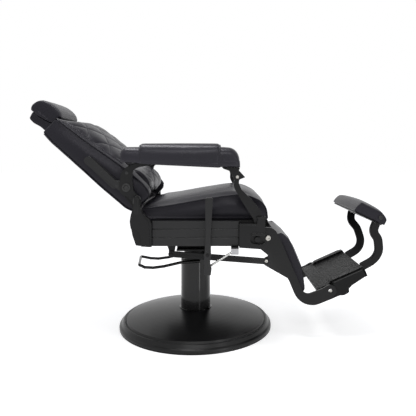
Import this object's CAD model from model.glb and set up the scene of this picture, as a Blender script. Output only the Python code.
"""Looks for a reclining hydraulic barber chair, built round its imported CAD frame."""
import math

import bmesh
import bpy
import numpy
from mathutils import Matrix, Vector
from mathutils.kdtree import KDTree


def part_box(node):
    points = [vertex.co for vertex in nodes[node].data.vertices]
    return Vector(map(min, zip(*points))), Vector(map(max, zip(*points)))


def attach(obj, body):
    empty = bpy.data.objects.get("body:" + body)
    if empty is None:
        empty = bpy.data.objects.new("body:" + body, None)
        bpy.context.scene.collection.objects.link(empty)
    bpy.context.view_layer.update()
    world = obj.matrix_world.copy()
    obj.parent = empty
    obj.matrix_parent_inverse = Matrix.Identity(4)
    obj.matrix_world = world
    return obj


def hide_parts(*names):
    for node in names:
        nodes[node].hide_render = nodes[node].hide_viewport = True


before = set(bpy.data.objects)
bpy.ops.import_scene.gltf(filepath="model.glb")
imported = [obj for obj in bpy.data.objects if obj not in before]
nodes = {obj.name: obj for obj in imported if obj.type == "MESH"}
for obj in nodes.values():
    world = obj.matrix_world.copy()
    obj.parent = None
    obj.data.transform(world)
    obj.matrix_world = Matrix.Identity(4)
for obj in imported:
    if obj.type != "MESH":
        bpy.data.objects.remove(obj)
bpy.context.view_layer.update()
scene = bpy.context.scene
bpy.ops.object.select_all(action="DESELECT")

# ---- Studio ----
# A white floor that keeps a faint shadow, white surroundings, a broad soft lamp overhead, weaker ones in front
# and at one side, and a narrow one low beside the column, as in a plain product studio.
FLOOR_SIZE, FLOOR_WHITE = 30.0, 0.80
FLOOR_GLOW, FLOOR_GLOW_SEEN = 0.20, 0.62  # the light it gives, and what the camera and gloss see of it
SKY_LOW, SKY_HIGH, SKY_BEHIND = 0.08, 0.50, 0.5  # light from below, from overhead, and more from behind


def add_node(tree, kind, values=None, **settings):
    """A new shader node: settings are its own switches, and values are its inputs by name."""
    made = tree.nodes.new(kind)
    for name, setting in settings.items():
        setattr(made, name, setting)
    for name, value in (values or {}).items():
        made.inputs[name].default_value = value
    return made


def either(tree, one, other):
    """The larger of two values: 1 where a ray is of one kind or the other."""
    larger = add_node(tree, "ShaderNodeMath", operation="MAXIMUM")
    tree.links.new(one, larger.inputs[0])
    tree.links.new(other, larger.inputs[1])
    return larger.outputs["Value"]


def new_material(name, values):
    """A new material, its node tree and its shader."""
    mat = bpy.data.materials.new(name)
    mat.use_nodes = True
    shader = mat.node_tree.nodes["Principled BSDF"]
    for key, value in values.items():
        shader.inputs[key].default_value = value
    return mat, mat.node_tree, shader


bpy.ops.mesh.primitive_plane_add(size=FLOOR_SIZE, location=(0, 0, 0))
floor = bpy.context.object
floor.name = "studio_floor"
floor_mat, tree, shader = new_material("studio_white", {
    "Base Color": (FLOOR_WHITE, FLOOR_WHITE, FLOOR_WHITE, 1), "Roughness": 0.9, "Specular IOR Level": 0.0,
    "Emission Color": (1, 1, 1, 1)})
ray = add_node(tree, "ShaderNodeLightPath")
glow = add_node(tree, "ShaderNodeMapRange", {"To Min": FLOOR_GLOW, "To Max": FLOOR_GLOW_SEEN})
tree.links.new(either(tree, ray.outputs["Is Camera Ray"], ray.outputs["Is Glossy Ray"]), glow.inputs["Value"])
tree.links.new(glow.outputs["Result"], shader.inputs["Emission Strength"])
floor.data.materials.append(floor_mat)

world = bpy.data.worlds.new("studio_world")
scene.world = world
world.use_nodes = True
tree = world.node_tree
tree.nodes.clear()
way = add_node(tree, "ShaderNodeTexCoord")
part_of = add_node(tree, "ShaderNodeSeparateXYZ")
overhead = add_node(tree, "ShaderNodeMapRange", {
    "From Min": -0.15, "From Max": 0.85, "To Min": SKY_LOW, "To Max": SKY_HIGH},
    interpolation_type="SMOOTHSTEP")
behind = add_node(tree, "ShaderNodeMapRange", {
    "From Min": -0.35, "From Max": 0.95, "To Min": 0.0, "To Max": SKY_BEHIND},
    interpolation_type="SMOOTHSTEP")
both = add_node(tree, "ShaderNodeMath", operation="ADD")
soft = add_node(tree, "ShaderNodeBackground", {"Color": (0.96, 0.97, 1.0, 1)})
white = add_node(tree, "ShaderNodeBackground", {"Color": (1, 1, 1, 1), "Strength": 1.0})
pick = add_node(tree, "ShaderNodeMixShader")
sky = add_node(tree, "ShaderNodeOutputWorld")
ray = add_node(tree, "ShaderNodeLightPath")
seen = either(tree, ray.outputs["Is Camera Ray"], ray.outputs["Is Transmission Ray"])
tree.links.new(way.outputs["Generated"], part_of.inputs["Vector"])
tree.links.new(part_of.outputs["Z"], overhead.inputs["Value"])
tree.links.new(part_of.outputs["Y"], behind.inputs["Value"])
tree.links.new(overhead.outputs["Result"], both.inputs[0])
tree.links.new(behind.outputs["Result"], both.inputs[1])
tree.links.new(both.outputs["Value"], soft.inputs["Strength"])
tree.links.new(either(tree, seen, ray.outputs["Is Glossy Ray"]), pick.inputs["Fac"])
tree.links.new(soft.outputs["Background"], pick.inputs[1])
tree.links.new(white.outputs["Background"], pick.inputs[2])
tree.links.new(pick.outputs["Shader"], sky.inputs["Surface"])


def soft_lamp(name, place, target, width, height, power):
    """A rectangular soft box that faces target."""
    lamp = bpy.data.lights.new(name, "AREA")
    lamp.shape = "RECTANGLE"
    lamp.size = width
    lamp.size_y = height
    lamp.energy = power
    box = bpy.data.objects.new(name, lamp)
    scene.collection.objects.link(box)
    box.location = place
    box.rotation_euler = (Vector(target) - Vector(place)).to_track_quat("-Z", "Y").to_euler()
    box.visible_camera = False
    return box


soft_lamp("top_box", (-0.45, -0.35, 2.5), (-0.1, 0.0, 0.5), width=1.5, height=0.4, power=30)
soft_lamp("front_box", (0.1, -3.0, 2.5), (0.0, 0.0, 0.4), width=1.8, height=0.5, power=14)
soft_lamp("strip_box", (1.60, -2.60, 0.80), (0.0, 0.0, 0.3), width=0.35, height=1.6, power=4)
soft_lamp("column_strip", (0.29, -0.48, 0.14), (0.02, -0.02, 0.20), width=0.05, height=0.25, power=0.16)

# ---- Camera ----
# A level camera at the sitter's right, at arm rest height, with the lens shifted down to the chair. The axis is
# the spot of the picture that it looks at.
EYE = (0.100, -2.041, 0.748)
FOCAL_PIXELS, PICTURE_PIXELS = 463.6, 416
AXIS_U, AXIS_V = 218.4, 153.0
camera = bpy.data.cameras.new("camera")
camera.sensor_width = 36.0
camera.lens = camera.sensor_width * FOCAL_PIXELS / PICTURE_PIXELS
camera.shift_x = (PICTURE_PIXELS / 2 - AXIS_U) / PICTURE_PIXELS
camera.shift_y = (AXIS_V - PICTURE_PIXELS / 2) / PICTURE_PIXELS
camera_object = bpy.data.objects.new("camera", camera)
scene.collection.objects.link(camera_object)
camera_object.location = EYE
camera_object.rotation_euler = (math.radians(90), 0, 0)
scene.camera = camera_object
scene.view_settings.view_transform = "Standard"

# ---- Base and column ----
# A cast iron disc with a turned rim, painted satin black, and the glossy painted steel sleeve and socket of the
# lift. The ram inside them is chromed and runs in a bronze bush.


def finish_bump(tree, scale, strength, distance, detail=3.0):
    """Noise in the object's own space, as a bump for a shader."""
    place = add_node(tree, "ShaderNodeTexCoord")
    grain = add_node(tree, "ShaderNodeTexNoise", {"Scale": scale, "Detail": detail})
    bump = add_node(tree, "ShaderNodeBump", {"Strength": strength, "Distance": distance})
    tree.links.new(place.outputs["Object"], grain.inputs["Vector"])
    tree.links.new(grain.outputs["Fac"], bump.inputs["Height"])
    return place, grain, bump


def two_tones(tree, pattern, places, dark, light):
    """A colour that goes from dark to light between two places of a pattern."""
    ramp = add_node(tree, "ShaderNodeValToRGB")
    for stop, place, colour in zip(ramp.color_ramp.elements, places, (dark, light)):
        stop.position = place
        stop.color = (*colour, 1)
    tree.links.new(pattern, ramp.inputs["Fac"])
    return ramp.outputs["Color"]


def uneven(tree, pattern, low, high):
    """A value that goes from low to high with a pattern."""
    change = add_node(tree, "ShaderNodeMapRange", {"To Min": low, "To Max": high})
    tree.links.new(pattern, change.inputs["Value"])
    return change.outputs["Result"]


def paint(name, shade, roughness, grain_scale=900.0, grain=0.12, coat=0.0, sheen=0.18, edge=0.0):
    """Sprayed black paint: orange peel, with a little dust and polish in its colour and gloss."""
    mat, tree, shader = new_material(name, {
        "Coat Weight": coat, "Coat Roughness": 0.08, "Specular IOR Level": sheen})
    place, _, bump = finish_bump(tree, grain_scale, grain, distance=0.0006)
    tree.links.new(bump.outputs["Normal"], shader.inputs["Normal"])
    if edge > 0:
        rounding = add_node(tree, "ShaderNodeBevel", {"Radius": edge}, samples=6)
        tree.links.new(rounding.outputs["Normal"], bump.inputs["Normal"])
    cloud = add_node(tree, "ShaderNodeTexNoise", {"Scale": 9.0, "Detail": 6.0})
    tree.links.new(place.outputs["Object"], cloud.inputs["Vector"])
    tint = two_tones(tree, cloud.outputs["Fac"], (0.3, 0.72), (shade * 0.82, shade * 0.82, shade * 0.86),
                     (shade * 1.16, shade * 1.16, shade * 1.2))
    tree.links.new(tint, shader.inputs["Base Color"])
    gloss = uneven(tree, cloud.outputs["Fac"], roughness * 0.85, roughness * 1.2)
    tree.links.new(gloss, shader.inputs["Roughness"])
    return mat


def dress(names, mat, round_edge=0.0, steps=2):
    """Gives CAD nodes a finish, and rounds their edges where a real casting's or bar's are rounded."""
    for name in names:
        piece = nodes[name]
        piece.data.materials.clear()
        piece.data.materials.append(mat)
        if round_edge > 0:
            weld = piece.modifiers.new("weld", "WELD")
            weld.merge_threshold = 0.00002
            edge = piece.modifiers.new("edge", "BEVEL")
            edge.width = round_edge
            edge.segments = steps
            edge.limit_method = "ANGLE"
            edge.angle_limit = math.radians(32)
            edge.use_clamp_overlap = True
            edge.harden_normals = False


def metal(name, colour, roughness, brushed=0.0):
    """Bare or plated metal with fine wear in its gloss."""
    mat, tree, shader = new_material(name, {"Metallic": 1.0, "Base Color": (*colour, 1)})
    _, scratch, bump = finish_bump(tree, scale=260.0, strength=0.05 + brushed, distance=0.0004, detail=8.0)
    tree.links.new(bump.outputs["Normal"], shader.inputs["Normal"])
    wear = uneven(tree, scratch.outputs["Fac"], roughness * 0.7, roughness * 1.4)
    tree.links.new(wear, shader.inputs["Roughness"])
    return mat


gloss_paint = paint("column_gloss_paint", shade=0.006, roughness=0.12, grain_scale=500.0, grain=0.03, coat=0.2)
chrome = metal("chrome_plate", (0.58, 0.59, 0.61), roughness=0.10)
dress(["base_disc"], paint("base_paint", shade=0.008, roughness=0.29, grain_scale=1400.0, grain=0.03,
                           sheen=0.23, edge=0.003))
dress(["column_socket", "column_sleeve"], gloss_paint)
dress(["ram_tube"], chrome)
dress(["ram_piston"], metal("dull_steel", (0.30, 0.30, 0.31), roughness=0.38, brushed=0.1))
dress(["guide_bush"], metal("bush_bronze", (0.55, 0.36, 0.16), roughness=0.3, brushed=0.1))

# ---- Frame and castings ----
# Welded steel bars and plates under the seat, cast iron corners and arms bolted to them, and the boards of the
# seat and of the leg rest, all sprayed satin black.
frame_paint = paint("frame_paint", shade=0.007, roughness=0.33, grain_scale=1100.0, grain=0.12,
                    sheen=0.19, edge=0.0025)
cast_paint = paint("casting_paint", shade=0.008, roughness=0.31, grain_scale=420.0, grain=0.22,
                   sheen=0.22, edge=0.004)
panel_paint = paint("panel_paint", shade=0.013, roughness=0.33, grain_scale=700.0, grain=0.2,
                    sheen=0.30, edge=0.0015)
dress(["seat_mount", "frame_rails", "frame_beams", "frame_side_right", "frame_side_left", "leg_brackets",
       "foot_cushion_plate", "link_bars", "leg_tubes"], frame_paint, round_edge=0.0008)
dress(["rear_casting_right", "rear_casting_left", "front_casting_right", "front_casting_left",
       "arm_support_right", "arm_support_left", "arm_bracket_right", "arm_bracket_left",
       "leg_arm_right", "leg_arm_left"], cast_paint, round_edge=0.002)
dress(["side_panel_right", "side_panel_left"], panel_paint, round_edge=0.0012)
dress(["seat_pan", "calf_board", "headrest_guide"], frame_paint)
dress(["back_bars"], panel_paint, round_edge=0.0035, steps=3)

# ---- Levers and recline works ----
# Cast pump head with its bent pedal bar, a flat recline lever that pulls a bright rod through an aluminium
# guide, cranks and links in the frame's paint, and a gas strut with a chromed rod.
dress(["pump_head"], cast_paint, round_edge=0.0012)
dress(["pump_lever"], gloss_paint)
dress(["recline_lever"], panel_paint, round_edge=0.003, steps=3)
dress(["crank_shaft", "drive_links"], frame_paint, round_edge=0.0006)
dress(["headrest_bar", "strut_rod"], chrome, round_edge=0.0004)
dress(["strut_cylinder"], gloss_paint, round_edge=0.0008)
bright_steel = metal("bright_steel", (0.40, 0.40, 0.39), roughness=0.22, brushed=0.05)
aluminium = metal("guide_aluminium", (0.36, 0.36, 0.37), roughness=0.30, brushed=0.05)
dress(["release_rod"], bright_steel, round_edge=0.0004)
dress(["rod_guide"], aluminium, round_edge=0.0008)

# ---- Foot rest castings and tread ----
# Cast side pieces and curved bars in a duller coat, and a tread plate whose top is embossed against slipping.
# Everything hangs on one hinge at the end of the leg rest's arms.
foot_paint = paint("foot_paint", shade=0.005, roughness=0.33, grain_scale=420.0, grain=0.22,
                   sheen=0.15, edge=0.003)
dress(["foot_side_right", "foot_side_left", "foot_bars"], foot_paint, round_edge=0.002)
tread_paint = paint("tread_paint", shade=0.004, roughness=0.36, grain_scale=900.0, grain=0.12, sheen=0.14)
tree = tread_paint.node_tree
place = add_node(tree, "ShaderNodeTexCoord")
ribs = add_node(tree, "ShaderNodeTexWave", {
    "Scale": 26.0, "Distortion": 11.0, "Detail": 3.0, "Detail Scale": 1.6})
emboss = add_node(tree, "ShaderNodeBump", {"Strength": 0.9, "Distance": 0.0045})
peel_bump = tree.nodes["Principled BSDF"].inputs["Normal"].links[0].from_node
tree.links.new(place.outputs["Object"], ribs.inputs["Vector"])
tree.links.new(ribs.outputs["Fac"], emboss.inputs["Height"])
tree.links.new(emboss.outputs["Normal"], peel_bump.inputs["Normal"])
dress(["tread_plate"], tread_paint, round_edge=0.001)

# ---- Seat cushion ----
# Boxed cushion of moulded foam under black leatherette: a crowned top that rolls over the front edge, flat
# sides and a welt of piping sewn in round the top. It is screwed to the seat board through its flat underside.
SEAT_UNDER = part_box("seat_cushion")[0][2]
SEAT_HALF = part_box("seat_cushion")[1][1]
SEAT_EDGE = [(-0.214, 0.541), (-0.196, 0.541), (-0.161, 0.541), (-0.085, 0.550), (0.030, 0.571),
             (0.130, 0.587), (0.170, 0.591), (0.202, 0.589), (0.229, 0.584), (0.254, 0.573),
             (0.270, 0.562), (0.283, 0.547), (0.291, 0.528), (0.295, 0.508)]
SEAT_NOSE = (SEAT_EDGE[-1][0], 0.500)  # where the roll of the front edge ends, and how high
SEAT_STOPS = [-0.211, -0.204, -0.192, -0.180] + [-0.160 + 0.02 * i for i in range(19)] + \
             [0.216, 0.230, 0.244, 0.256, 0.267, 0.275, 0.283, 0.290, 0.296]
SEAT_CROWN, SEAT_CROWN_LOSS = 0.016, 0.012  # rise of the middle over the edge, and what the rear lacks of it
PAN_REAR = -0.155
SEAT_VOXEL = 0.0058  # the size of the skin's mesh before it is smoothed
COVER_IN = 0.0025  # how far a cover is drawn in before the foam presses it out
CLOTH_FRAMES = 20
SEW_DEPTH, SEW_WIDTH = 0.0025, 0.006  # how far stitches draw a cover in, and how widely
PIPING = 0.0030


def leather(name, shade, grain=0.3, sheen=0.21, dull=0.27, creases=0.10):
    """Leatherette: pebbled grain, faint creases, and a sheen that varies where hands and heads rub it."""
    mat, tree, shader = new_material(name, {
        "Specular IOR Level": sheen, "Specular Tint": (0.96, 0.94, 1.0, 1)})
    place = add_node(tree, "ShaderNodeTexCoord")
    pebble = add_node(tree, "ShaderNodeTexVoronoi", {"Scale": 760.0}, feature="DISTANCE_TO_EDGE")
    crease = add_node(tree, "ShaderNodeTexNoise", {"Scale": 46.0, "Detail": 7.0, "Roughness": 0.62})
    rub = add_node(tree, "ShaderNodeTexNoise", {"Scale": 7.0, "Detail": 4.0})
    for texture in (pebble, crease, rub):
        tree.links.new(place.outputs["Object"], texture.inputs["Vector"])
    edge = add_node(tree, "ShaderNodeMapRange", {"From Max": 0.22})
    fine = add_node(tree, "ShaderNodeBump", {"Strength": grain, "Distance": 0.0002})
    coarse = add_node(tree, "ShaderNodeBump", {"Strength": creases, "Distance": 0.0010})
    tree.links.new(pebble.outputs["Distance"], edge.inputs["Value"])
    tree.links.new(edge.outputs["Result"], fine.inputs["Height"])
    tree.links.new(crease.outputs["Fac"], coarse.inputs["Height"])
    tree.links.new(coarse.outputs["Normal"], fine.inputs["Normal"])
    tree.links.new(fine.outputs["Normal"], shader.inputs["Normal"])
    tint = two_tones(tree, rub.outputs["Fac"], (0.28, 0.75), (shade * 0.84, shade * 0.80, shade * 1.12),
                     (shade * 1.14, shade * 1.08, shade * 1.50))
    tree.links.new(tint, shader.inputs["Base Color"])
    tree.links.new(uneven(tree, rub.outputs["Fac"], dull, dull + 0.13), shader.inputs["Roughness"])
    return mat


def along(table, x):
    """A value read from a table of (place, value), straight between its entries."""
    return float(numpy.interp(x, [t[0] for t in table], [t[1] for t in table]))


def foam_block(name, rings):
    """A closed block of foam through a row of rings of points, each with the same number of points."""
    mesh = bpy.data.meshes.new(name)
    block = bmesh.new()
    rows = [[block.verts.new(p) for p in ring] for ring in rings]
    for a, b in zip(rows, rows[1:]):
        for i in range(len(a)):
            j = (i + 1) % len(a)
            block.faces.new((a[i], a[j], b[j], b[i]))
    block.faces.new(rows[0][::-1])
    block.faces.new(rows[-1])
    bmesh.ops.recalc_face_normals(block, faces=block.faces)
    block.to_mesh(mesh)
    block.free()
    foam = bpy.data.objects.new(name, mesh)
    scene.collection.objects.link(foam)
    return foam


def point_values(piece, what):
    """The piece's points or their normals, as an array."""
    flat_list = numpy.empty(len(piece.data.vertices) * 3)
    piece.data.vertices.foreach_get(what, flat_list)
    return flat_list.reshape(-1, 3)


def coordinates(piece):
    return point_values(piece, "co")


def point_normals(piece):
    return point_values(piece, "normal")


def set_coordinates(piece, points):
    piece.data.vertices.foreach_set("co", numpy.asarray(points).reshape(-1))
    piece.data.update()


def raise_surface(piece, heights):
    """Moves each point out along its normal."""
    set_coordinates(piece, coordinates(piece) + point_normals(piece) * heights[:, None])


def pick_up(piece):
    bpy.ops.object.select_all(action="DESELECT")
    piece.select_set(True)
    bpy.context.view_layer.objects.active = piece


def even_skin(foam, voxel, smooth_steps):
    """Turns a block of foam into one even mesh with softened corners."""
    pick_up(foam)
    bpy.ops.object.mode_set(mode="EDIT")
    bpy.ops.mesh.select_all(action="SELECT")
    bpy.ops.mesh.remove_doubles(threshold=0.00002)
    bpy.ops.object.mode_set(mode="OBJECT")
    foam.data.remesh_voxel_size = voxel
    bpy.ops.object.voxel_remesh()
    bpy.ops.object.mode_set(mode="EDIT")
    bpy.ops.mesh.select_all(action="SELECT")
    bpy.ops.mesh.vertices_smooth(factor=0.5, repeat=smooth_steps)
    bpy.ops.object.mode_set(mode="OBJECT")


def puff_out(foam, fixed, pressure):
    """The foam presses its cover out, except where that is held. The simulation is applied to the mesh."""
    group = foam.vertex_groups.new(name="held")
    group.add([int(i) for i in numpy.nonzero(fixed)[0]], 1.0, "REPLACE")
    bpy.ops.object.modifier_add(type="CLOTH")
    cloth = foam.modifiers[-1]
    cloth.settings.quality = 4
    cloth.settings.mass = 0.25
    cloth.settings.tension_stiffness = 12
    cloth.settings.compression_stiffness = 12
    cloth.settings.bending_stiffness = 6
    cloth.settings.use_pressure = True
    cloth.settings.uniform_pressure_force = pressure
    cloth.settings.effector_weights.gravity = 0
    cloth.settings.vertex_group_mass = "held"
    cloth.point_cache.frame_start = 1
    cloth.point_cache.frame_end = CLOTH_FRAMES
    for frame_number in range(1, CLOTH_FRAMES + 1):
        scene.frame_set(frame_number)
    bpy.ops.object.modifier_apply(modifier=cloth.name)
    scene.frame_set(1)
    foam.vertex_groups.clear()


def calm(piece, move, rounds=10):
    """Shares each point's move with its neighbours' a few times, so that the cover has no ripples."""
    pairs = numpy.empty(len(piece.data.edges) * 2, dtype=int)
    piece.data.edges.foreach_get("vertices", pairs)
    pairs = pairs.reshape(-1, 2)
    near_count = numpy.bincount(pairs.reshape(-1), minlength=len(move))[:, None]
    for _ in range(rounds):
        total = numpy.zeros_like(move)
        numpy.add.at(total, pairs[:, 0], move[pairs[:, 1]])
        numpy.add.at(total, pairs[:, 1], move[pairs[:, 0]])
        move = 0.5 * move + 0.5 * total / near_count
    return move


def upholster(foam, voxel, inset, pressure, cap, held, smooth_steps=4):
    """Covers a block of foam: a skin drawn in by inset, which the foam presses out by at most about cap."""
    even_skin(foam, voxel, smooth_steps)
    fixed = held(coordinates(foam))
    before = coordinates(foam) - point_normals(foam) * numpy.where(fixed, 0.0, inset)[:, None]
    set_coordinates(foam, before)
    if pressure > 0:
        puff_out(foam, fixed, pressure)
        move = coordinates(foam) - before
        far = numpy.linalg.norm(move, axis=1, keepdims=True)
        move *= numpy.where(far > 0, cap * numpy.tanh(far / cap) / numpy.maximum(far, 1e-9), 0)
        move = calm(foam, move)
        set_coordinates(foam, before + move * numpy.where(fixed, 0.0, 1.0)[:, None])
    else:
        free = numpy.where(fixed[:, None], 0.0, inset)
        set_coordinates(foam, before + point_normals(foam) * free)
    pick_up(foam)
    bpy.ops.object.modifier_add(type="SUBSURF")
    foam.modifiers[-1].levels = 1
    foam.modifiers[-1].render_levels = 1
    bpy.ops.object.modifier_apply(modifier=foam.modifiers[-1].name)
    bpy.ops.object.shade_smooth()
    return foam


def sew(piece, lines, depth, width):
    """Draws the cover in along lines of stitches."""
    points = coordinates(piece)
    normals = point_normals(piece)
    stitches = [p for line in lines for p in line]
    tree = KDTree(len(stitches))
    for i, p in enumerate(stitches):
        tree.insert(p, i)
    tree.balance()
    stitch_array = numpy.array([tuple(p) for p in stitches])
    low = stitch_array.min(axis=0) - 3 * width
    high = stitch_array.max(axis=0) + 3 * width
    for i in numpy.nonzero(((points > low) & (points < high)).all(axis=1))[0]:
        distance = tree.find(points[i])[2]
        if distance < 3 * width:
            points[i] -= normals[i] * depth * math.exp(-(distance / width) ** 2)
    set_coordinates(piece, points)


def line_through(points, step=0.003, closed=False):
    """Evenly spaced points along a line of straight stretches."""
    stops = [Vector(p) for p in points] + ([Vector(points[0])] if closed else [])
    result = []
    for a, b in zip(stops, stops[1:]):
        count = max(1, round((b - a).length / step))
        result += [a.lerp(b, i / count) for i in range(count)]
    return result if closed else result + [stops[-1]]


def piping(name, cover, paths, radius, closed=False, proud=0.45):
    """Cords covered in the same leatherette, sewn in along the cover's edges: proud is a share of radius."""
    bpy.context.view_layer.update()
    line = bpy.data.curves.new(name, "CURVE")
    line.dimensions = "3D"
    line.bevel_depth = radius
    line.bevel_resolution = 2
    for path in paths:
        places = []
        for p in line_through(path, step=0.005, closed=closed):
            _, near, normal, _ = cover.closest_point_on_mesh(p)
            places.append(near + normal * radius * proud)
        for _ in range(3):
            inner = [(places[i - 1] + places[i] * 2 + places[(i + 1) % len(places)]) / 4
                     for i in range(len(places))]
            if not closed:
                inner[0], inner[-1] = places[0], places[-1]
            places = inner
        spline = line.splines.new("POLY")
        spline.points.add(len(places) - 1)
        for point, place in zip(spline.points, places):
            point.co = (*place, 1)
        spline.use_cyclic_u = closed
    welt = bpy.data.objects.new(name, line)
    scene.collection.objects.link(welt)
    pick_up(welt)
    bpy.ops.object.convert(target="MESH")
    welt = bpy.context.object
    bpy.ops.object.shade_smooth()
    return welt


def finish_soft(piece, mat, body):
    """Gives a soft piece its material, and the body and material slot that it belongs to."""
    piece.data.materials.clear()
    piece.data.materials.append(mat)
    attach(piece, body)


hide = leather("leatherette", shade=0.011)
seat_rings = []
for x in SEAT_STOPS:
    behind_nose = x < SEAT_NOSE[0]
    edge_z = along(SEAT_EDGE, x) if behind_nose else SEAT_NOSE[1]
    half = SEAT_HALF if behind_nose else SEAT_HALF - 0.03
    rear_share = max(0.0, min(1.0, (-0.140 - x) / 0.050))
    crown = SEAT_CROWN + max(0.0, x - 0.2) * 0.05 - SEAT_CROWN_LOSS * rear_share
    under = SEAT_UNDER - (0.010 if x < PAN_REAR else 0.003)
    top = []
    for i in range(29):
        y = half * (1 - i / 14)
        top.append((x, y, edge_z + crown * (1 - abs(y / half) ** 3.4)))
    seat_rings.append([(x, half, under)] + top + [(x, -half, under)])
seat = upholster(foam_block("seat_cushion_cover", seat_rings),
                 voxel=SEAT_VOXEL, inset=COVER_IN, pressure=4.0, cap=0.007,
                 held=lambda p: p[:, 2] < SEAT_UNDER + 0.006)
SEAT_WELT = [[(x, side * SEAT_HALF, z + 0.001) for x, z in [(-0.210, 0.500)] + SEAT_EDGE + [(0.294, 0.497)]]
             for side in (-1, 1)]
sew(seat, [line_through(path) for path in SEAT_WELT], depth=SEW_DEPTH, width=SEW_WIDTH)
seat_welt = piping("seat_cushion_piping", seat, paths=SEAT_WELT, radius=PIPING)
finish_soft(seat, hide, "seat")
finish_soft(seat_welt, hide, "seat")
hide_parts("seat_cushion")

# ---- Back ----
# A padded board that tapers to its top: leatherette quilted in diamonds on a crowned front, plain boxed sides
# and a flat rear, with piping round both. The lumbar pillow lies in a hollow of its lower front.
HINGE = Vector((-0.249, 0.0, 0.615))
RECLINE = math.radians(47)
BACK_HALF = 0.250
BACK_FRONT = [(-0.086, 0.030), (-0.072, 0.044), (-0.040, 0.050), (0.0, 0.050), (0.060, 0.047),
              (0.131, 0.038), (0.223, 0.024), (0.318, 0.012), (0.376, 0.006)]
BACK_REAR = [(-0.086, -0.050), (-0.076, -0.060), (-0.048, -0.070), (-0.024, -0.071), (0.078, -0.076),
             (0.182, -0.077), (0.286, -0.079), (0.338, -0.081), (0.364, -0.079), (0.391, -0.073)]
BACK_CROWN = [(-0.086, 0.0), (-0.072, 0.016), (0.10, 0.030), (0.170, 0.033), (0.206, 0.036), (0.253, 0.039),
              (0.304, 0.038), (0.335, 0.034), (0.362, 0.022), (0.391, 0.004)]
BACK_STOPS = [-0.086, -0.076, -0.062] + [-0.048 + 0.014 * i for i in range(9)] + [0.0765, 0.0800] + \
             [0.09 + 0.0185 * i for i in range(15)] + [0.362, 0.376, 0.391]
POCKET_TOP, POCKET_HALF, POCKET_FLOOR = 0.078, 0.204, -0.026  # the hollow under the lumbar pillow
QUILT_Y, QUILT_Z, QUILT_FOOT = 0.160, 0.110, 0.183  # a diamond's width and height, and a crossing's height
QUILT_SIDE, QUILT_LOW, QUILT_HIGH, QUILT_FADE = 0.222, 0.082, 0.352, 0.012
QUILT_RISE = 0.0075
SEAM_SIDE, SEAM_TOP, SEAM_WIDTH, SEAM_DEPTH = 0.226, 0.356, 0.0035, 0.0030
FRONT_FACING = 0.35  # how much a surface faces forward before it counts as the back's front


def on_back(x, y, z):
    """A point of the back, which is drawn upright from its hinge, where it stands."""
    return (HINGE.x + x * math.cos(RECLINE) - z * math.sin(RECLINE), y,
            HINGE.z + x * math.sin(RECLINE) + z * math.cos(RECLINE))


def in_back(points):
    """The upright coordinates of points that stand where they are, as an array."""
    dx, dz = points[:, 0] - HINGE.x, points[:, 2] - HINGE.z
    return numpy.stack([dx * math.cos(RECLINE) + dz * math.sin(RECLINE), points[:, 1],
                        -dx * math.sin(RECLINE) + dz * math.cos(RECLINE)], axis=1)


def diamonds(across, up, sharpness):
    """Quilting: 0 on the stitched lines, where across + up or across - up is whole, and up to 1 between."""
    one_way = abs(numpy.sin(math.pi * (across + up)))
    other_way = abs(numpy.sin(math.pi * (across - up)))
    return numpy.minimum(one_way, other_way) ** sharpness


def within(depth, fade):
    """0 outside a border, rising to 1 at the depth fade inside it."""
    return numpy.clip(depth / fade, 0, 1)


def groove(distance, width):
    """1 along a line of stitches, and little at more than width beside it."""
    return numpy.exp(-(distance / width) ** 2)


back_rings = []
for z in BACK_STOPS:
    front, rear, crown = along(BACK_FRONT, z), along(BACK_REAR, z), along(BACK_CROWN, z)
    ring = []
    for i in range(101):
        y = BACK_HALF * (1 - i / 50)
        x = front + crown * (1 - abs(y / BACK_HALF) ** 3.2)
        if z < POCKET_TOP and abs(y) < POCKET_HALF:
            x = POCKET_FLOOR
        ring.append(on_back(x, y, z))
    ring += [on_back(rear, BACK_HALF * (i / 10 - 1), z) for i in range(21)]
    back_rings.append(ring)
back = upholster(foam_block("back_cover", back_rings),
                 voxel=0.0056, inset=COVER_IN, pressure=4.0, cap=0.006,
                 held=lambda p: (in_back(p)[:, 0] < -0.020) & (abs(p[:, 1]) < 0.2))
upright = in_back(coordinates(back))
side_way, height = abs(upright[:, 1]), upright[:, 2]
facing = in_back(point_normals(back) + numpy.array(HINGE))[:, 0]
border = within(QUILT_SIDE - side_way, QUILT_FADE) * within(QUILT_HIGH - height, QUILT_FADE) \
    * within(height - QUILT_LOW, QUILT_FADE) * (facing > FRONT_FACING)
lift = QUILT_RISE * (diamonds(upright[:, 1] / QUILT_Y, (height - QUILT_FOOT) / QUILT_Z, 0.42) - 0.72) * border
side_seams = groove(side_way - SEAM_SIDE, SEAM_WIDTH) * (height < SEAM_TOP + 0.001) * (height > 0.080)
top_seam = groove(height - SEAM_TOP, SEAM_WIDTH) * (side_way < SEAM_SIDE + 0.001)
lift -= SEAM_DEPTH * numpy.maximum(side_seams, top_seam) * (facing > FRONT_FACING)
raise_surface(back, lift)
FRONT_WELT = [[on_back(along(BACK_FRONT, z) + 0.002, side * BACK_HALF, z)
               for z in [-0.074, -0.03, 0.03, 0.09, 0.15, 0.21, 0.27, 0.33, 0.375]] for side in (-1, 1)]
FRONT_WELT.append([on_back(0.004, y, 0.389) for y in (-0.246, -0.12, 0.0, 0.12, 0.246)])
REAR_WELT = [[on_back(along(BACK_REAR, z) + 0.003, side * BACK_HALF, z)
              for z in [-0.076, -0.04, 0.0, 0.08, 0.16, 0.24, 0.32, 0.380]] for side in (-1, 1)]
sew(back, [line_through(path) for path in FRONT_WELT + REAR_WELT], depth=SEW_DEPTH, width=SEW_WIDTH)
back_welt = piping("back_piping", back, FRONT_WELT + REAR_WELT, radius=0.0032, proud=0.75)
finish_soft(back, hide, "back")
finish_soft(back_welt, hide, "back")
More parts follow.
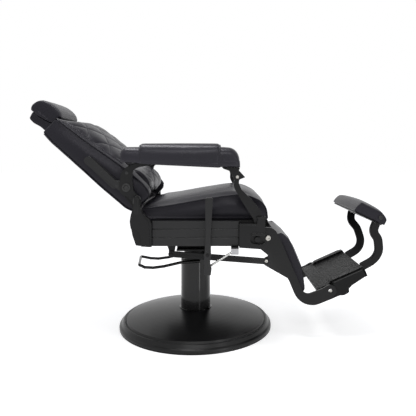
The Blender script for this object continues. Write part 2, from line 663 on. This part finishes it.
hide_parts("back_cushion", "back_shell")

# ---- Lumbar pillow ----
# A loose bolster of foam, quilted in diamonds round its length, with plain ends sewn in with piping. It lies
# in the hollow at the foot of the back.
PILLOW_X, PILLOW_Z = 0.026, -0.005  # its middle, in the back's upright coordinates
PILLOW_STOPS = [(-0.196, 0.74), (-0.192, 0.86), (-0.184, 0.93), (-0.166, 0.985), (-0.13, 1.0), (0.0, 1.0),
                (0.13, 1.0), (0.166, 0.985), (0.184, 0.93), (0.192, 0.86), (0.196, 0.74)]
PILLOW_QUILT, PILLOW_TURN = 0.150, 1.75  # a diamond's length along the pillow, and round it as an angle
PILLOW_PLAIN, PILLOW_FADE = 0.174, 0.030  # where the plain ends begin, and the quilting's fade before them
PILLOW_RISE = 0.0048


def blunt(value, power):
    """A sine or cosine made blunter, for a round that is nearer to a square."""
    return math.copysign(abs(value) ** power, value)


pillow_rings = []
for y, share in PILLOW_STOPS:
    ring = []
    for i in range(48):
        t = 2 * math.pi * i / 48
        ring.append(on_back(PILLOW_X + 0.049 * share * blunt(math.cos(t), 0.88), y,
                            PILLOW_Z + 0.064 * share * blunt(math.sin(t), 0.88)))
    pillow_rings.append(ring)
pillow = upholster(foam_block("lumbar_pillow_cover", pillow_rings),
                   voxel=0.0046, inset=0.003, pressure=4.0, cap=0.006, smooth_steps=8,
                   held=lambda p: in_back(p)[:, 0] < -0.019)
upright = in_back(coordinates(pillow))
turn = numpy.arctan2(upright[:, 2] - PILLOW_Z, (upright[:, 0] - PILLOW_X) * 1.35)
quilting = diamonds(upright[:, 1] / PILLOW_QUILT, turn / PILLOW_TURN, 0.45)
border = within(PILLOW_PLAIN - abs(upright[:, 1]), PILLOW_FADE) * (upright[:, 0] > -0.012)
raise_surface(pillow, PILLOW_RISE * (quilting - 0.65) * border)
PILLOW_WELT = [[on_back(PILLOW_X + 0.046 * math.cos(t), side * 0.188, PILLOW_Z + 0.060 * math.sin(t))
                for t in [math.pi * i / 16 for i in range(32)]] for side in (-1, 1)]
pillow_welt = piping("lumbar_pillow_piping", pillow, paths=PILLOW_WELT, radius=0.0018, closed=True, proud=0.3)
finish_soft(pillow, hide, "back")
finish_soft(pillow_welt, hide, "back")
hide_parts("lumbar_pillow")

# ---- Head rest ----
# A fat roll of foam on a padded board that tilts on the sliding bar. The roll's ends are gathered in.
ROLL = [(-0.063, 0.520), (-0.055, 0.529), (-0.040, 0.534), (-0.015, 0.528), (0.001, 0.514), (0.012, 0.486),
        (0.016, 0.456), (0.013, 0.430), (0.001, 0.411), (-0.020, 0.4085), (-0.038, 0.4150), (-0.0435, 0.428),
        (-0.050, 0.452), (-0.057, 0.480)]
ROLL_MIDDLE = (-0.024, 0.470)  # the middle of that outline, and next where it goes on the back
ROLL_PLACE = (-0.027, 0.475)
ROLL_GROWTH, ROLL_SEAM_GROWTH = (1.13, 1.09), (1.10, 1.06)
ROLL_STOPS = [(-0.128, 0.84), (-0.124, 0.91), (-0.115, 0.97), (-0.10, 1.0), (0.0, 1.02), (0.10, 1.0),
              (0.115, 0.97), (0.124, 0.91), (0.128, 0.84)]
ROLL_SEAM_Y = 0.117


def ring_outline(points, count):
    """The same number of evenly spaced points along a closed outline, with its corners kept."""
    length = [0.0]
    loop = [Vector(p) for p in points] + [Vector(points[0])]
    for a, b in zip(loop, loop[1:]):
        length.append(length[-1] + (b - a).length)
    result = []
    for i in range(count):
        want = length[-1] * i / count
        k = max(j for j in range(len(points)) if length[j] <= want + 1e-9)
        share = (want - length[k]) / max(length[k + 1] - length[k], 1e-9)
        result.append(loop[k].lerp(loop[k + 1], share))
    return result


def foam_from(name, node):
    """A block of foam in the shape of the plain solid that stands for it."""
    foam = bpy.data.objects.new(name, nodes[node].data.copy())
    foam.data.materials.clear()
    scene.collection.objects.link(foam)
    return foam


def on_roll(x, y, z, growth, share=1.0):
    """A point of the roll's outline, grown from its middle, where it stands."""
    return on_back(ROLL_PLACE[0] + (x - ROLL_MIDDLE[0]) * share * growth[0], y,
                   ROLL_PLACE[1] + (z - ROLL_MIDDLE[1]) * share * growth[1])


roll_outline = [(p.x, p.y) for p in ring_outline([(x, z, 0) for x, z in ROLL], 40)]
roll_rings = [[on_roll(x, y, z, ROLL_GROWTH, share) for x, z in roll_outline] for y, share in ROLL_STOPS]
roll = upholster(foam_block("head_roll_cover", roll_rings),
                 voxel=0.0044, inset=0.003, pressure=4.5, cap=0.007, smooth_steps=8,
                 held=lambda p: (in_back(p)[:, 0] < -0.046) & (in_back(p)[:, 2] < 0.5))
ROLL_SEAM = [[on_roll(x, side * ROLL_SEAM_Y, z, ROLL_SEAM_GROWTH) for x, z in ROLL] for side in (-1, 1)]
sew(roll, [line_through(path, step=0.003, closed=True) for path in ROLL_SEAM], depth=0.0022, width=0.004)
finish_soft(roll, hide, "head_rest")
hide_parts("headrest_roll")
head_board = upholster(foam_from("head_board_cover", "headrest_board"),
                       voxel=0.0042, inset=0.0015, pressure=2.0, cap=0.002, smooth_steps=6,
                       held=lambda p: in_back(p)[:, 2] < 0.42)
finish_soft(head_board, hide, "head_rest")
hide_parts("headrest_board")

# ---- Arm rests ----
# A foam covered core in leatherette on each arm, worn smooth by hands, and over its middle a thicker padded
# sleeve with rolled ends.
ARM_Y = 0.5 * (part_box("arm_core_right")[0][1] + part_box("arm_core_right")[1][1])
ARM_UNDER = [(-0.259, 0.7130), (-0.104, 0.7052), (0.028, 0.7002), (0.113, 0.6952), (0.181, 0.6962)]
CORE_HALF, CORE_TOP, CORE_ROUND = 0.035, 0.772, 0.036
CORE_STOPS = [(-0.263, 0.016, 0.008), (-0.257, 0.006, 0.003), (-0.244, 0.0, 0.0), (-0.19, 0.0, 0.0),
              (0.02, 0.0, 0.0), (0.120, 0.0, 0.0), (0.146, 0.002, 0.0), (0.160, 0.009, 0.001),
              (0.170, 0.019, 0.003), (0.177, 0.032, 0.006), (0.180, 0.046, 0.010)]
SLEEVE_HALF, SLEEVE_TOP, SLEEVE_ROUND = 0.0400, 0.7860, 0.046
SLEEVE_STOPS = [(-0.196, 0.009), (-0.193, 0.004), (-0.187, 0.001), (-0.175, 0.0), (-0.04, -0.0005),
                (0.091, 0.0), (0.103, 0.001), (0.109, 0.004), (0.112, 0.009)]
SLEEVE_SEAM_X, SLEEVE_SEAM_HALF = (-0.190, 0.106), 0.041
SLEEVE_SEAM = [(-1, 0.705), (-1, 0.755), (-0.72, 0.776), (0, 0.787), (0.72, 0.776), (1, 0.755), (1, 0.705)]


def arm_ring(x, half, low, high, round_top, y_mid):
    """A cross-section of the arm: flat below, sides that swell a little, and a broad rounded top."""
    left_foot = [(x, y_mid - half + 0.007, low), (x, y_mid - half + 0.002, low + 0.003),
                 (x, y_mid - half, low + 0.010)]
    right_foot = [(x, y_mid + half, low + 0.010), (x, y_mid + half - 0.002, low + 0.003),
                  (x, y_mid + half - 0.007, low)]
    top = []
    for i in range(25):
        t = math.pi * i / 24
        top.append((x, y_mid - half * blunt(math.cos(t), 0.84), high - round_top * (1 - math.sin(t) ** 0.88)))
    return left_foot + top + right_foot


worn_hide = leather("leatherette_arms", shade=0.014, grain=0.2, sheen=0.30, dull=0.23, creases=0.03)
for side, hand in ((1, "right"), (-1, "left")):
    core_rings = []
    for x, drop, draw in CORE_STOPS:
        core_rings.append(arm_ring(x, CORE_HALF - draw, along(ARM_UNDER, x) + 0.0006, CORE_TOP - drop,
                                   CORE_ROUND, side * ARM_Y))
    core = upholster(foam_block("arm_core_cover_" + hand, core_rings),
                     voxel=0.0042, inset=0.0015, pressure=2.0, cap=0.003, smooth_steps=5,
                     held=lambda p: p[:, 2] < 0.7165)
    finish_soft(core, worn_hide, "seat")
    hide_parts("arm_core_" + hand)
    sleeve_rings = []
    for x, draw in SLEEVE_STOPS:
        sleeve_rings.append(arm_ring(x, SLEEVE_HALF - draw * 0.6, along(ARM_UNDER, x) - 0.0022 + draw * 0.4,
                                     SLEEVE_TOP - draw, SLEEVE_ROUND, side * ARM_Y))
    sleeve = upholster(foam_block("arm_sleeve_cover_" + hand, sleeve_rings),
                       voxel=0.0042, inset=0.002, pressure=4.0, cap=0.004, smooth_steps=5,
                       held=lambda p: p[:, 2] < 0.711)
    seam_paths = [[(x, side * ARM_Y + share * SLEEVE_SEAM_HALF, z) for share, z in SLEEVE_SEAM]
                  for x in SLEEVE_SEAM_X]
    bpy.context.view_layer.update()
    stitches = [[sleeve.closest_point_on_mesh(p)[1] for p in line_through(path)] for path in seam_paths]
    sew(sleeve, stitches, depth=0.0032, width=0.0030)
    finish_soft(sleeve, worn_hide, "seat")
    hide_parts("arm_pad_" + hand)

# ---- Calf pad and foot cushion ----
# Foam pads on boards: one between the leg rest's arms, behind the calves, and a crescent one on the two
# curved bars that props the feet.


def behind_plane(points, x, z, tilt, depth):
    """Which points lie less than depth before a sloping board, with a spot (x, z) and the normal tilt."""
    return (points[:, 2] - z) * tilt[1] + (points[:, 0] - x) * tilt[0] < depth


calf = upholster(foam_from("calf_pad_cover", "calf_pad"),
                 voxel=0.0052, inset=0.003, pressure=4.0, cap=0.007, smooth_steps=6,
                 held=lambda p: behind_plane(p, 0.298, 0.407, (0.918, 0.397), 0.040))
finish_soft(calf, hide, "leg_rest")
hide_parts("calf_pad")
foot = upholster(foam_from("foot_cushion_cover", "foot_cushion"),
                 voxel=0.0052, inset=0.002, pressure=4.0, cap=0.004, smooth_steps=4,
                 held=lambda p: behind_plane(p, 0.643, 0.512, (0.443, 0.897), 0.010))
finish_soft(foot, hide, "foot_rest")
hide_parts("foot_cushion")

# ---- Screws ----
# Zinc plated steel screws with low conical heads and hexagon sockets: at the leg rest's pivots, the link bars,
# the foot rest's hinge and the arm supports. Those of the back, of its brackets and of the foot cushion are
# blackened.
zinc = metal("zinc_plate", (0.42, 0.41, 0.38), roughness=0.34, brushed=0.06)
dark_zinc = metal("blackened_steel", (0.045, 0.045, 0.045), roughness=0.42, brushed=0.06)
# Sizes: the head's radius and height, half the socket's width, and the length of the shank that shows.
PIVOT_SIZE = (0.0105, 0.005, 0.0045, 0.018)
LINK_SIZE = (0.0065, 0.004, 0.003, 0.010)
FOOT_SIZE = (0.0055, 0.002, 0.0024, 0.006)
ARM_FRONT_SIZE = (0.0060, 0.003, 0.0026, 0.008)
ARM_REAR_SIZE = (0.0060, 0.003, 0.0026, 0.004)
HINGE_SIZE = (0.0165, 0.005, 0.0095, 0.004)
CUSHION_SIZE = (0.0080, 0.004, 0.0035, 0.006)
# How far from the chair's middle the faces are that the heads stand on.
LEG_ARM_FACE, LINK_FACE, ARM_FRONT_FACE, ARM_REAR_FACE = 0.1943, 0.2017, 0.3053, 0.2873
BACK_BAR_FACE, FOOT_BAR_FACE = 0.2787, 0.1772


def socket_screw(name, place, side, size, mat, body):
    """A screw across the chair at place, its head outward on side (1 is the sitter's right)."""
    radius, height, socket, shank = size
    bpy.ops.object.select_all(action="DESELECT")
    bpy.ops.mesh.primitive_cylinder_add(vertices=48, radius=radius, depth=height, location=(0, 0, height / 2))
    screw = bpy.context.object
    screw.name = name
    bpy.ops.object.mode_set(mode="EDIT")
    shape = bmesh.from_edit_mesh(screw.data)
    for face in shape.faces:
        face.select = face.normal.z > 0.9
    bpy.ops.mesh.inset(thickness=radius * 0.16, depth=0)
    bpy.ops.transform.translate(value=(0, 0, height * 0.22))
    bpy.ops.mesh.inset(thickness=radius * 0.84 - socket, depth=0)
    shape = bmesh.from_edit_mesh(screw.data)
    for vertex in shape.verts:
        if vertex.select:
            angle = math.atan2(vertex.co.y, vertex.co.x) % (math.pi / 3) - math.pi / 6
            reach = socket * 0.96 / math.cos(angle)
            vertex.co.xy = vertex.co.xy.normalized() * reach
    bmesh.update_edit_mesh(screw.data)
    bpy.ops.mesh.extrude_region_move(TRANSFORM_OT_translate={"value": (0, 0, -height * 0.8)})
    shape = bmesh.from_edit_mesh(screw.data)
    for face in shape.faces:
        face.select = face.normal.z < -0.9
    bpy.ops.mesh.inset(thickness=radius * 0.45, depth=0)
    bpy.ops.mesh.extrude_region_move(TRANSFORM_OT_translate={"value": (0, 0, -shank)})
    bpy.ops.object.mode_set(mode="OBJECT")
    turn_out = Matrix.Rotation(math.radians(90 * side), 4, "X")
    screw.data.transform(Matrix.Translation(place) @ turn_out)
    bpy.ops.object.modifier_add(type="BEVEL")
    screw.modifiers[-1].width = radius * 0.05
    screw.modifiers[-1].segments = 2
    bpy.ops.object.modifier_apply(modifier=screw.modifiers[-1].name)
    bpy.ops.object.shade_smooth_by_angle(angle=math.radians(35))
    screw.data.materials.append(mat)
    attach(screw, body)
    return screw


for side, hand in ((1, "right"), (-1, "left")):
    pivot = socket_screw("leg_pivot_screw_" + hand, (0.298, -side * LEG_ARM_FACE, 0.407), side,
                         PIVOT_SIZE, zinc, "leg_rest")
    socket_screw("link_screw_" + hand, (0.290, -side * LINK_FACE, 0.3174), side, LINK_SIZE, zinc, "leg_rest")
    if side == 1:
        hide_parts("leg_bolts")
    foot_screw = socket_screw("foot_hinge_screw_" + hand, (0.5471, -side * LEG_ARM_FACE, 0.1980), side,
                              FOOT_SIZE, zinc, "foot_rest")
    if side == 1:
        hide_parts("foot_bolts")
    arm_screw = socket_screw("arm_support_screw_" + hand, (0.171, -side * ARM_FRONT_FACE, 0.657), side,
                             ARM_FRONT_SIZE, zinc, "seat")
    socket_screw("arm_bracket_screw_" + hand, (-0.247, -side * ARM_REAR_FACE, 0.671), side,
                 ARM_REAR_SIZE, dark_zinc, "seat")
    if side == 1:
        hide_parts("arm_bolts")
    socket_screw("hinge_screw_" + hand, (HINGE.x, -side * ARM_REAR_FACE, HINGE.z), side,
                 HINGE_SIZE, dark_zinc, "back")
    # The lower one is sunk flush, since the arm's bracket passes over it when the back comes up.
    for number, (x, z, height) in enumerate(((-0.022, 0.110, 0.002), (-0.021, 0.033, 0.00025))):
        socket_screw("back_bar_screw_%s_%d" % (hand, number + 1), on_back(x, -side * BACK_BAR_FACE, z), side,
                     (0.0045, height, 0.002, 0.004), dark_zinc, "back")
    socket_screw("foot_cushion_screw_" + hand, (0.752, -side * FOOT_BAR_FACE, 0.486), side,
                 CUSHION_SIZE, dark_zinc, "foot_rest")
